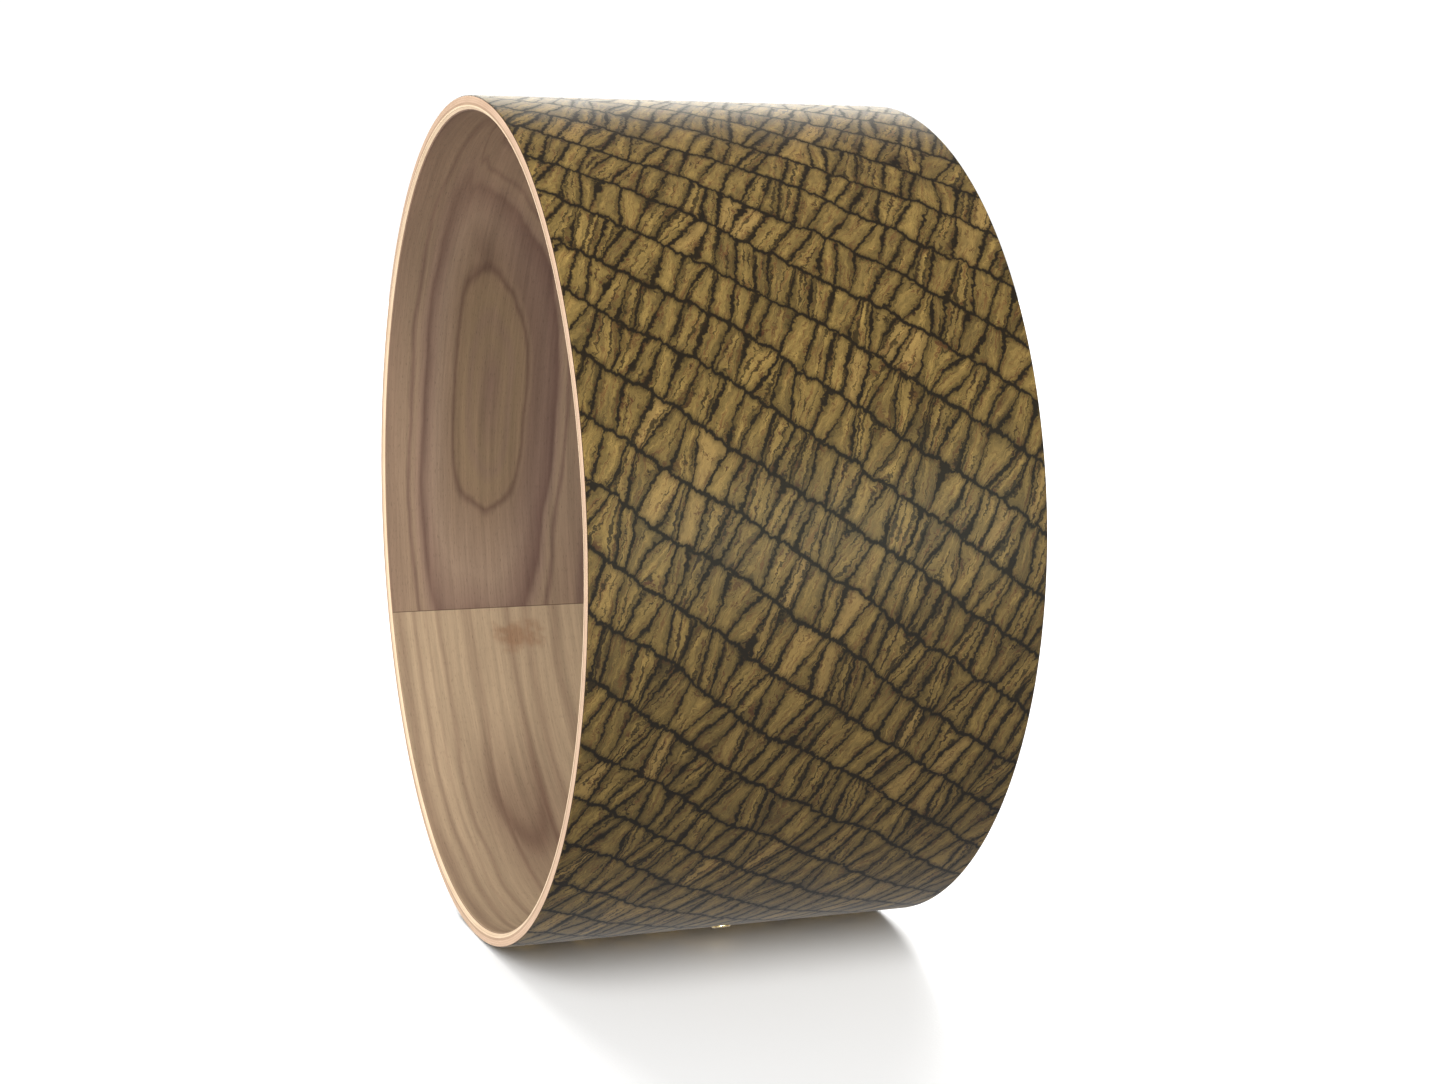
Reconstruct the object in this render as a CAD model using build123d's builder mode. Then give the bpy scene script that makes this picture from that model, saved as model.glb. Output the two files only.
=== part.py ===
"""Bare bass drum shell, laid on its side: a bonded wooden cylinder of eight plies, open at both ends.

Each ply is two half-round sheets that meet at two butt seams, and the seams step round the shell from
one ply to the next. Both ends are cut to a bearing edge for a drum head. A brass vent, an eyelet
clinched over a washer, goes through the wall near the floor.

Frame: the drum's axis is along Y, the floor is at Z = 0 and the origin is under the middle of the shell.
Angles are counted about the drum's axis, from +X (0 degrees) towards +Z (90 degrees).
"""

import os
from math import cos, radians, sin

from build123d import *

# Shell
SHELL_DIAMETER = 605.0
SHELL_DEPTH = 309.0
FACE_VENEER = 0.6
CORE_PLY = 1.5
CORE_PLIES = 6

# Bearing edge, the same at both ends
ROUND_OVER = 1.5
INNER_CUT = 2.4

# Butt seams: one sheet of each ply starts at the seam angle, the other half a turn further round
OUTER_SEAM = 96.0
INNER_SEAM = 200.0
HALF_TURN = 180.0

# Vent
VENT_ANGLE = -72.0
VENT_POSITION = 6.0
VENT_BORE_RADIUS = 4.25
EYELET_WALL = 0.55
VENT_HOLE_CLEARANCE = 0.1
VENT_DRILL_OVERRUN = 5.0
FLANGE_RADIUS = 6.8
FLANGE_HEIGHT = 1.1
CLINCH_RADIUS = 6.2
CLINCH_HEIGHT = 0.8
CLINCH_ROUND = 0.5
WASHER_RADIUS = 7.5
WASHER_THICKNESS = 0.8
WASHER_CHAMFER = 0.2
WASHER_GAP = 0.1

# Worked out from the above
OUTER_RADIUS = SHELL_DIAMETER / 2
WALL = 2 * FACE_VENEER + CORE_PLIES * CORE_PLY
INNER_RADIUS = OUTER_RADIUS - WALL
SEAM_STEP = (INNER_SEAM + HALF_TURN - OUTER_SEAM) / (CORE_PLIES + 1)
BARREL_RADIUS = VENT_BORE_RADIUS + EYELET_WALL
VENT_HOLE_RADIUS = BARREL_RADIUS + VENT_HOLE_CLEARANCE
WASHER_TOP = INNER_RADIUS - WASHER_GAP
WASHER_BOTTOM = WASHER_TOP - WASHER_THICKNESS

CENTRE = Vector(0, 0, OUTER_RADIUS)
SHELL_AXIS = Axis(CENTRE, (0, -1, 0))


def radial(angle):
    """Direction from the drum's axis out through the wall at an angle in degrees."""
    return Vector(cos(radians(angle)), 0, sin(radians(angle)))


def section_plane(angle):
    """Half plane through the drum's axis: x is the distance from the axis, y runs along it."""
    return Plane(origin=CENTRE, x_dir=radial(angle), z_dir=radial(angle + 90))


def ply_stack():
    """Yield (name, outer radius, thickness, seam angle) for every ply, from the outside in."""
    thicknesses = [FACE_VENEER] + [CORE_PLY] * CORE_PLIES + [FACE_VENEER]
    names = ["outer_veneer"] + [f"core_ply_{i + 1}" for i in range(CORE_PLIES)] + ["inner_veneer"]
    radius = OUTER_RADIUS
    for index, (name, thickness) in enumerate(zip(names, thicknesses)):
        yield name, radius, thickness, OUTER_SEAM + index * SEAM_STEP
        radius -= thickness


def finish(part, name):
    """Label a finished piece and write it to its own STEP file."""
    part.label = name
    export_step(part, f"parts/{name}.step")


def sheet(name, radius, thickness, seam):
    """One half-round sheet of a ply, with its share of both bearing edges and of the vent hole."""
    with BuildPart() as ply:
        with BuildSketch(section_plane(seam)) as section:
            with Locations((OUTER_RADIUS - WALL / 2, 0)):
                Rectangle(WALL, SHELL_DEPTH)
            fillet(section.vertices().group_by(Axis.X)[-1], ROUND_OVER)
            chamfer(section.vertices().group_by(Axis.X)[0], INNER_CUT)
            with Locations((radius - thickness / 2, 0)):
                Rectangle(thickness, SHELL_DEPTH, mode=Mode.INTERSECT)
        revolve(axis=SHELL_AXIS, revolution_arc=HALF_TURN)
        with BuildSketch(VENT_PLANE.offset(OUTER_RADIUS)):
            Circle(VENT_HOLE_RADIUS)
        extrude(amount=WALL + VENT_DRILL_OVERRUN, both=True, mode=Mode.SUBTRACT)
    finish(ply.part, name)


os.makedirs("parts", exist_ok=True)

VENT_AXIS_ORIGIN = CENTRE + Vector(0, VENT_POSITION, 0)
VENT_PLANE = Plane(origin=VENT_AXIS_ORIGIN, x_dir=(0, 1, 0), z_dir=radial(VENT_ANGLE))

# Plies: two sheets each
for ply_name, ply_radius, ply_thickness, ply_seam in ply_stack():
    sheet(f"{ply_name}_sheet_a", ply_radius, ply_thickness, ply_seam)
    sheet(f"{ply_name}_sheet_b", ply_radius, ply_thickness, ply_seam + HALF_TURN)

# Vent eyelet: flange outside, barrel through the wall, lip clinched over the washer inside.
# Its section lies in a plane through the vent's axis: x is the distance from that axis,
# y the distance from the drum's axis.
EYELET_PLANE = Plane(origin=VENT_AXIS_ORIGIN, x_dir=(0, 1, 0), z_dir=radial(VENT_ANGLE - 90))
VENT_AXIS = Axis(VENT_AXIS_ORIGIN, radial(VENT_ANGLE))

with BuildPart() as eyelet:
    with BuildSketch(EYELET_PLANE) as eyelet_section:
        with Locations((VENT_BORE_RADIUS, OUTER_RADIUS)):
            Rectangle(FLANGE_RADIUS - VENT_BORE_RADIUS, FLANGE_HEIGHT, align=(Align.MIN, Align.MIN))
        with Locations((VENT_BORE_RADIUS, OUTER_RADIUS)):
            Rectangle(EYELET_WALL, OUTER_RADIUS - WASHER_BOTTOM, align=(Align.MIN, Align.MAX))
        with Locations((VENT_BORE_RADIUS, WASHER_BOTTOM)):
            Rectangle(CLINCH_RADIUS - VENT_BORE_RADIUS, CLINCH_HEIGHT, align=(Align.MIN, Align.MAX))
        fillet(eyelet_section.vertices().group_by(Axis.Y)[-1], FLANGE_HEIGHT * 0.9)
        fillet(eyelet_section.vertices().group_by(Axis.Y)[0], CLINCH_ROUND)
    revolve(axis=VENT_AXIS)
finish(eyelet.part, "vent_eyelet")

# Vent washer, against the inner veneer
with BuildPart() as washer:
    with BuildSketch(VENT_PLANE.offset(WASHER_BOTTOM)):
        Circle(WASHER_RADIUS)
        Circle(VENT_HOLE_RADIUS, mode=Mode.SUBTRACT)
    extrude(amount=WASHER_THICKNESS)
    rim_edges = washer.edges().filter_by(GeomType.CIRCLE).group_by(SortBy.RADIUS)[-1]
    chamfer(rim_edges, WASHER_CHAMFER)
finish(washer.part, "vent_washer")
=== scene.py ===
"""Looks of a bare bass drum shell: plywood sheets bent round the drum, two face veneers and a brass vent.

Every sheet is a flat plank with rounded and cut edges that a node tree bends round the drum's axis.
The drum's axis is along Y, the floor is at Z = 0, and angles are counted from +X towards +Z.
"""

from __future__ import annotations

import logging
import math
from dataclasses import dataclass, field
from enum import Enum
from typing import Sequence, Union

import bmesh
import bpy
import numpy as np
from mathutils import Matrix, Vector

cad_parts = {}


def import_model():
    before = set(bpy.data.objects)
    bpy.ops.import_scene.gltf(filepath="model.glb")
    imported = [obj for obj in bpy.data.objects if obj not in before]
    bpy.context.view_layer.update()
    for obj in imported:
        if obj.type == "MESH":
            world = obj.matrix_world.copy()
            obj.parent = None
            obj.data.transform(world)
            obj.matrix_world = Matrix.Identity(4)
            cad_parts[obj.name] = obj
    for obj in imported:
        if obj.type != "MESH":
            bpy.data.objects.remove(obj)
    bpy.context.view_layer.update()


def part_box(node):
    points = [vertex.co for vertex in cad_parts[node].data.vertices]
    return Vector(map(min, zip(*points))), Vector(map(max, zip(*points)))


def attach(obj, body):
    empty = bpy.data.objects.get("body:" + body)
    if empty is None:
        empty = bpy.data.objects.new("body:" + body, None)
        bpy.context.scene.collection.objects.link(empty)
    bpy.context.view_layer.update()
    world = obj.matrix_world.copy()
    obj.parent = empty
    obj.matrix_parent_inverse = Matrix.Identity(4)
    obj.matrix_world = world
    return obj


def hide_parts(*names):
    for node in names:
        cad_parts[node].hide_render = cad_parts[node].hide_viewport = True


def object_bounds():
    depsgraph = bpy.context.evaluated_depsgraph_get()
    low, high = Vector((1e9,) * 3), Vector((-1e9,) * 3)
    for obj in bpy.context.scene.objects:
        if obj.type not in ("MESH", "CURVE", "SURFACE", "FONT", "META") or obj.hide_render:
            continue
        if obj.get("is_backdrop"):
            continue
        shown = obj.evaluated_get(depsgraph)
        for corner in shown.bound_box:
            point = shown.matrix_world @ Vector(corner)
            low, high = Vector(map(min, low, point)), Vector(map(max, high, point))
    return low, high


LOG = logging.getLogger("bass_drum_shell")

MM = 0.001
BODY = "root"
PLANK = "plank"

Socket = bpy.types.NodeSocket
Layers = tuple[Socket, Socket, Union[Socket, None]]
Value = Union[float, int, Socket]
Rgba = tuple[float, float, float, float]


def paint(red: int, green: int, blue: int) -> Rgba:
    """Turn a colour as a screen shows it into the linear colour that a shader takes.

    Args:
        red: Red, from 0 to 255.
        green: Green, from 0 to 255.
        blue: Blue, from 0 to 255.

    Returns:
        The linear colour, opaque.
    """

    def linear(channel: int) -> float:
        """Undo the display curve on one channel."""
        level = channel / 255
        return level / 12.92 if level <= 0.04045 else ((level + 0.055) / 1.055) ** 2.4

    return linear(red), linear(green), linear(blue), 1.0


class Slot(str, Enum):
    """The material slots that the part's record declares."""

    OUTER_VENEER = "outer_veneer"
    CORE_TAN = "core_tan"
    CORE_BROWN = "core_brown"
    CORE_CREAM = "core_cream"
    INNER_VENEER = "inner_veneer"
    VENT_BRASS = "vent_brass"


class Bench:
    """A node tree with short calls for the nodes that the finishes and the bending tree need."""

    def __init__(self, tree: bpy.types.NodeTree) -> None:
        """Work on this tree."""
        self.tree = tree

    def add(self, kind: str, **settings: object) -> bpy.types.Node:
        """Add a node.

        Args:
            kind: The node's type name.
            settings: Its properties, such as operation or data_type.

        Returns:
            The new node.
        """
        node = self.tree.nodes.new(kind)
        for name, value in settings.items():
            setattr(node, name, value)
        return node

    def feed(self, socket: Socket, value: object) -> None:
        """Link a socket to an input, or set the input's own value."""
        if isinstance(value, Socket):
            self.tree.links.new(value, socket)
        else:
            socket.default_value = value

    def math(self, operation: str, *values: Value, clamp: bool = False) -> Socket:
        """Do one sum on up to three values."""
        node = self.add("ShaderNodeMath", operation=operation, use_clamp=clamp)
        for socket, value in zip(node.inputs, values):
            self.feed(socket, value)
        return node.outputs[0]

    def plus(self, *values: Value) -> Socket:
        """Add up two or more values."""
        total = values[0]
        for value in values[1:]:
            total = self.math("ADD", total, value)
        return total

    def minus(self, a: Value, b: Value) -> Socket:
        """Take b from a."""
        return self.math("SUBTRACT", a, b)

    def times(self, *values: Value) -> Socket:
        """Multiply two or more values."""
        total = values[0]
        for value in values[1:]:
            total = self.math("MULTIPLY", total, value)
        return total

    def over(self, a: Value, b: Value) -> Socket:
        """Divide a by b."""
        return self.math("DIVIDE", a, b)

    def blend_sum(self, *terms: tuple[float, Value]) -> Socket:
        """Add up values, each times its own factor."""
        total: Value = 0.0
        for factor, value in terms:
            total = self.math("MULTIPLY_ADD", value, factor, total)
        return total

    def ease(
        self, value: Value, low: Value, high: Value, start: Value = 0.0, end: Value = 1.0
    ) -> Socket:
        """Go smoothly from start to end as a value goes from low to high."""
        node = self.add("ShaderNodeMapRange", interpolation_type="SMOOTHSTEP")
        for socket, given in zip(node.inputs, (value, low, high, start, end)):
            self.feed(socket, given)
        return node.outputs[0]

    def straight(
        self, value: Value, low: Value, high: Value, start: Value = 0.0, end: Value = 1.0
    ) -> Socket:
        """Go evenly from start to end and beyond as a value goes from low to high."""
        node = self.add("ShaderNodeMapRange", clamp=False)
        for socket, given in zip(node.inputs, (value, low, high, start, end)):
            self.feed(socket, given)
        return node.outputs[0]

    def point(self, x: Value, y: Value, z: Value = 0.0) -> Socket:
        """Join three values into a vector."""
        node = self.add("ShaderNodeCombineXYZ")
        for socket, value in zip(node.inputs, (x, y, z)):
            self.feed(socket, value)
        return node.outputs[0]

    def split(self, vector: Socket) -> list[Socket]:
        """Split a vector into its three values."""
        node = self.add("ShaderNodeSeparateXYZ")
        self.feed(node.inputs[0], vector)
        return list(node.outputs)

    def noise(
        self, x: Value, y: Value, z: Value = 0.0, detail: float = 2.0, roughness: float = 0.5
    ) -> Socket:
        """Read cloudy noise, centred on zero, at a place given in noise sizes."""
        node = self.add("ShaderNodeTexNoise", noise_dimensions="3D")
        self.feed(node.inputs["Vector"], self.point(x, y, z))
        node.inputs["Scale"].default_value = 1.0
        node.inputs["Detail"].default_value = detail
        node.inputs["Roughness"].default_value = roughness
        return self.minus(node.outputs[0], 0.5)

    def grain(self, x: Value, width: float, y: Value, height: float, *rest: Value) -> Socket:
        """Read cloudy noise whose clouds are about this wide and this high."""
        return self.noise(self.over(x, width), self.over(y, height), *rest)

    def bars(self, place: Value, randomness: float) -> tuple[Socket, list]:
        """Divide a line into cells of uneven length.

        Args:
            place: The place on the line, in mean cell lengths.
            randomness: How uneven the cells are, from 0 to 1.

        Returns:
            The distance to the nearest cell end, and three random values of the cell.
        """
        edge = self.add("ShaderNodeTexVoronoi", voronoi_dimensions="1D", feature="DISTANCE_TO_EDGE")
        cell = self.add("ShaderNodeTexVoronoi", voronoi_dimensions="1D", feature="F1")
        for node in (edge, cell):
            self.feed(node.inputs["W"], place)
            node.inputs["Scale"].default_value = 1.0
            node.inputs["Randomness"].default_value = randomness
        return edge.outputs["Distance"], self.split(cell.outputs["Color"])

    def mix(
        self, factor: Value, a: Value | Rgba, b: Value | Rgba, blend: str = "MIX"
    ) -> Socket:
        """Mix two colours."""
        node = self.add("ShaderNodeMix", data_type="RGBA", blend_type=blend)
        self.feed(node.inputs[0], factor)
        self.feed(node.inputs[6], a)
        self.feed(node.inputs[7], b)
        return node.outputs[2]

    def ramp(self, factor: Value, stops: Sequence[tuple[float, Rgba]]) -> Socket:
        """Run a value through a colour ramp of (place, colour) stops."""
        node = self.add("ShaderNodeValToRGB")
        elements = node.color_ramp.elements
        while len(elements) < len(stops):
            elements.new(0.5)
        for element, (place, colour) in zip(elements, stops):
            element.position = place
            element.color = colour
        self.feed(node.inputs[0], factor)
        return node.outputs[0]

    def shade(self, colour: Value, amount: Value) -> Socket:
        """Multiply a colour by a grey amount."""
        grey = self.add("ShaderNodeCombineColor")
        for socket in grey.inputs:
            self.feed(socket, amount)
        return self.mix(1.0, colour, grey.outputs[0], "MULTIPLY")


class Finish:
    """A procedural material on a bent sheet, in millimetres along, across and into the sheet."""

    name = "finish"
    roughness = 0.5
    specular = 0.5
    bump_reach_mm = 0.05

    def build(self) -> bpy.types.Material:
        """Make the material.

        Returns:
            The new material, ready to set on a piece.
        """
        material = bpy.data.materials.new(self.name)
        material.use_nodes = True
        tree = material.node_tree
        shader = tree.nodes["Principled BSDF"]
        shader.inputs["Roughness"].default_value = self.roughness
        shader.inputs["Specular IOR Level"].default_value = self.specular
        bench = Bench(tree)
        colour, relief, gloss = self.pattern(bench)
        bench.feed(shader.inputs["Base Color"], colour)
        if gloss is not None:
            bench.feed(shader.inputs["Roughness"], gloss)
        bump = bench.add("ShaderNodeBump")
        bump.inputs["Strength"].default_value = 1.0
        bump.inputs["Distance"].default_value = self.bump_reach_mm * MM
        bench.feed(bump.inputs["Height"], relief)
        bench.feed(shader.inputs["Normal"], bump.outputs[0])
        self.dress(shader)
        return material

    def dress(self, shader: bpy.types.Node) -> None:
        """Set the shader values that are the same all over the surface."""

    def pattern(self, bench: Bench) -> Layers:
        """Build the pattern; return its colour, its relief and its roughness."""
        raise NotImplementedError

    @staticmethod
    def plank(bench: Bench) -> list[Socket]:
        """Read the place on the flat sheet, in millimetres: along the arc, across and into it."""
        place = bench.add("ShaderNodeAttribute", attribute_name=PLANK)
        return [bench.times(value, 1 / MM) for value in bench.split(place.outputs["Vector"])]


@dataclass(frozen=True)
class ScaleVeneer(Finish):
    """Olive veneer with slanting rows of scales, divided by dark jagged lines and rungs."""

    name: str = "scale_figured_veneer"
    roughness: float = 0.42
    specular: float = 0.25
    bump_reach_mm: float = 0.03
    row_slope: float = math.radians(34)
    row_pitch: float = 34.14
    row_start: float = 29.0
    rung_lean: float = math.radians(63)
    cell_width: float = 13.5
    strip_width: float = 5.6
    light: Rgba = paint(139, 114, 62)
    body: Rgba = paint(117, 96, 52)
    deep: Rgba = paint(89, 73, 41)
    gold: Rgba = paint(150, 122, 70)
    ink: Rgba = paint(29, 22, 12)
    russet: Rgba = paint(92, 60, 34)
    rust: Rgba = paint(74, 42, 24)
    edge: Rgba = paint(50, 35, 23)

    def pattern(self, bench: Bench) -> Layers:
        """Build the rows, the rungs, the fine lines and the fibre."""
        arc, axial, depth = self.plank(bench)

        # Rows: q runs across them. Rungs: u runs across those, v along them.
        wander = bench.grain(arc, 85, axial, 85, 3.0, 1.0)
        q = bench.blend_sum(
            (math.cos(self.row_slope), arc), (math.sin(self.row_slope), axial), (17.0, wander)
        )
        rows = bench.over(bench.minus(q, self.row_start), self.row_pitch)
        row = bench.math("FLOOR", rows)
        line = bench.math("ROUND", rows)
        u = bench.blend_sum((math.sin(self.rung_lean), axial), (-math.cos(self.rung_lean), arc))
        v = bench.blend_sum((math.cos(self.rung_lean), axial), (math.sin(self.rung_lean), arc))

        # Row lines step up and down on their own jagged way
        jag = bench.noise(bench.over(u, 12), bench.times(line, 7.7), 0.0, 5.0, 0.68)
        swell = bench.noise(bench.over(u, 8), bench.times(line, 3.1), 5.0, 3.0)
        off_line = bench.math(
            "ABSOLUTE", bench.blend_sum((self.row_pitch, bench.minus(rows, line)), (15.0, jag))
        )
        line_half = bench.blend_sum((1.0, 0.95), (2.6, swell))
        past_line = bench.minus(off_line, line_half)

        # Rungs lean and shake from one row line to the next
        lean = bench.noise(bench.over(u, 24), bench.times(row, 7.1), 91.0, 1.0)
        up_row = bench.blend_sum((self.row_pitch, bench.minus(rows, row)), (1.0, -17.0))
        sway = bench.grain(arc, 24, axial, 24, 11.0, 1.0)
        tremble = bench.grain(arc, 4.2, axial, 4.2, 17.0, 3.0, 0.65)
        bent_u = bench.blend_sum(
            (1.0, u), (1.7, bench.times(lean, up_row)), (5.0, sway), (6.4, tremble)
        )
        edge, (tone, chance, weight) = bench.bars(
            bench.blend_sum((1 / self.cell_width, bent_u), (9.37, row)), 1.0
        )
        thick = bench.grain(bent_u, 7, v, 24, 23.0, 3.0)
        rung_half = bench.blend_sum((1.0, 0.78), (4.0, thick))
        past_rung = bench.minus(bench.times(edge, self.cell_width), rung_half)
        past = bench.math("SMOOTH_MIN", past_line, past_rung, 2.4)
        ink = bench.ease(past, -0.35, 0.75, 1.0, 0.0)
        halo = bench.ease(past, -0.3, 5.0, 1.0, 0.0)

        # Finer dark lines, close together in some scales and missing from others
        fine_u = bench.blend_sum((1.0, bent_u), (1.6, tremble), (-3.0, sway))
        fine_edge, fine_random = bench.bars(
            bench.blend_sum((1 / self.strip_width, fine_u), (5.11, row), (3.0, chance)), 1.0
        )
        patch = bench.grain(arc, 13, axial, 13, 31.0, 1.0)
        fine_half = bench.blend_sum((1.0, -0.7), (1.15, weight), (2.6, patch), (0.5, fine_random[0]))
        fine = bench.ease(
            bench.minus(bench.times(fine_edge, self.strip_width), fine_half), -0.2, 0.45, 1.0, 0.0
        )

        # Rust-coloured squiggles: level lines of a stretched noise
        hills = bench.grain(bent_u, 5.0, v, 17, 41.0, 2.0, 0.6)
        level = bench.math("ABSOLUTE", bench.math("PINGPONG", bench.plus(hills, 0.5), 0.11))
        squiggle = bench.ease(level, 0.004, 0.02, 1.0, 0.0)
        squiggle = bench.times(squiggle, bench.ease(patch, -0.08, 0.1, 0.2, 1.0))

        # Fibre along the rungs
        fibre = bench.grain(bent_u, 0.75, v, 11, 51.0, 3.0, 0.6)
        streak = bench.grain(bent_u, 2.6, v, 30, 61.0, 2.0)
        cloud = bench.grain(arc, 45, axial, 45, 71.0, 2.0)

        warmth = bench.blend_sum(
            (1.0, 0.5), (0.4, bench.minus(tone, 0.5)), (1.7, streak), (0.8, cloud), (1.3, fibre)
        )
        colour = bench.ramp(warmth, [(0.0, self.deep), (0.5, self.body), (1.0, self.light)])
        colour = bench.mix(bench.ease(chance, 0.86, 0.96, 0.0, 0.7), colour, self.gold)
        russet = bench.grain(bent_u, 1.7, v, 22, 81.0, 3.0, 0.6)
        colour = bench.mix(bench.ease(russet, 0.03, 0.15, 0.0, 0.7), colour, self.russet)
        colour = bench.shade(colour, bench.blend_sum((1.0, 1.14), (-0.62, halo), (0.8, fibre)))
        colour = bench.mix(bench.times(squiggle, 0.75), colour, self.rust)
        colour = bench.mix(bench.times(fine, 0.8), colour, self.ink)
        colour = bench.mix(bench.times(ink, 0.96), colour, self.ink)
        colour = bench.mix(bench.ease(depth, 0.12, 0.4), colour, self.edge)

        relief = bench.blend_sum((-0.6, ink), (-0.3, fine), (0.9, fibre))
        gloss = bench.blend_sum((1.0, self.roughness), (0.08, ink), (0.12, fibre))
        return colour, relief, gloss


@dataclass(frozen=True)
class WalnutFinish(Finish):
    """What the two inner walnut sheets share: pores, streaks and a soft oiled surface."""

    name: str = "walnut"
    roughness: float = 0.55
    specular: float = 0.25
    bump_reach_mm: float = 0.06
    seam_arc: float = 0.0
    near_edge: float = -154.5
    edge: Rgba = paint(120, 92, 74)
    joint: Rgba = paint(70, 50, 40)

    def places(self, bench: Bench) -> tuple[Socket, ...]:
        """Give the distances from the near edge and from the seam, and the depth, in millimetres."""
        arc, axial, depth = self.plank(bench)
        across = bench.minus(axial, self.near_edge)
        along = bench.math("ABSOLUTE", bench.minus(arc, self.seam_arc))
        return across, along, depth

    def wood(
        self,
        bench: Bench,
        colour: Socket,
        across: Socket,
        along: Socket,
        depth: Socket,
    ) -> Layers:
        """Lay pores and streaks over the growth rings' colour."""
        drift = bench.grain(across, 60, along, 140, 2.0, 1.0)
        bent = bench.blend_sum((1.0, across), (6.0, drift))
        band = bench.grain(bent, 7, along, 260, 5.0, 3.0, 0.55)
        streak = bench.grain(bent, 1.6, along, 90, 9.0, 3.0, 0.6)
        fibre = bench.grain(bent, 0.45, along, 14, 13.0, 3.0, 0.65)
        pore = bench.grain(bent, 0.55, along, 5.5, 21.0, 1.0)
        pore = bench.ease(pore, 0.13, 0.24)
        shade = bench.blend_sum(
            (1.0, 1.0), (0.6, band), (0.42, streak), (0.4, fibre), (-0.3, pore)
        )
        colour = bench.shade(colour, shade)
        seam = bench.ease(along, 0.12, 0.5, 0.75, 0.0)
        colour = bench.mix(seam, colour, self.joint)
        colour = bench.mix(bench.ease(depth, 0.5, 0.2), colour, self.edge)
        relief = bench.blend_sum((0.7, fibre), (-0.8, pore))
        return colour, relief, bench.blend_sum((1.0, self.roughness), (0.2, fibre))


@dataclass(frozen=True)
class OvalWalnut(WalnutFinish):
    """Flat-sawn walnut above the inner seam: growth rings round a long oval."""

    name: str = "walnut_oval_figure"
    oval_across: float = 90.0
    oval_along: float = 192.0
    half_width: float = 30.0
    half_length: float = 108.0
    tip_bow: float = 13.0

    def pattern(self, bench: Bench) -> Layers:
        """Colour the rings by their distance from the oval's middle."""
        across, along, depth = self.places(bench)
        off = bench.over(bench.minus(along, self.oval_along), self.half_length)
        far = bench.math("MAXIMUM", off, 0.0)
        apart = bench.over(bench.minus(across, self.oval_across), self.half_width)
        bow = bench.times(far, far, bench.ease(apart, -1.7, -1.1), self.tip_bow / self.half_width)
        side = bench.plus(apart, bow)
        # The oval's near end is blunt, and the grain runs nearly straight on its left
        length = bench.times(off, off)
        blunt = bench.times(length, bench.minus(1.0, length), bench.ease(off, -0.3, 0.0, 0.8, 0.0))
        length = bench.minus(length, bench.math("MAXIMUM", blunt, 0.0))
        length = bench.times(length, bench.ease(side, -2.1, -0.4, 0.15, 1.0))
        ring = bench.math("SQRT", bench.plus(bench.times(side, side), length))
        wobble = bench.grain(across, 45, along, 130, 1.0, 1.0)
        ripple = bench.grain(across, 9, along, 50, 7.0, 3.0)
        ring = bench.blend_sum((1.0, ring), (0.35, wobble), (0.16, ripple))
        stops = [
            (0.0, paint(131, 106, 89)),
            (0.4, paint(139, 116, 91)),
            (0.56, paint(136, 112, 91)),
            (0.7, paint(140, 117, 91)),
            (0.92, paint(138, 114, 90)),
            (1.0, paint(113, 89, 73)),
            (1.1, paint(142, 118, 96)),
            (1.55, paint(155, 131, 110)),
            (1.78, paint(140, 115, 98)),
            (1.92, paint(118, 93, 80)),
            (2.04, paint(146, 121, 102)),
            (2.2, paint(152, 128, 105)),
            (2.3, paint(124, 99, 84)),
            (2.4, paint(151, 127, 104)),
            (2.9, paint(147, 122, 101)),
            (3.1, paint(121, 96, 83)),
            (3.4, paint(146, 121, 100)),
            (5.0, paint(149, 124, 103)),
        ]
        colour = bench.ramp(
            bench.over(ring, 5.0), [(place / 5.0, colour) for place, colour in stops]
        )
        # The dark heart runs down the right of the oval
        right = bench.ease(bench.plus(side, bench.times(far, 0.25)), 0.2, 1.5)
        heart = bench.times(right, bench.ease(ring, 1.0, 1.2), bench.ease(ring, 1.9, 2.0, 1.0, 0.0))
        colour = bench.mix(bench.times(heart, 0.62), colour, paint(108, 82, 72))
        far_end = bench.ease(along, 300.0, 400.0, 0.0, 0.4)
        colour = bench.mix(far_end, colour, paint(156, 128, 106))
        # Darker grain gathers beyond the oval's far tip
        tip = bench.ease(bench.math("ABSOLUTE", side), 0.0, 0.55, 1.0, 0.0)
        tip = bench.times(tip, bench.ease(off, 0.9, 1.05), bench.ease(off, 1.15, 1.6, 0.5, 0.0))
        colour = bench.mix(tip, colour, paint(104, 80, 68))
        return self.wood(bench, colour, across, along, depth)


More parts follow.
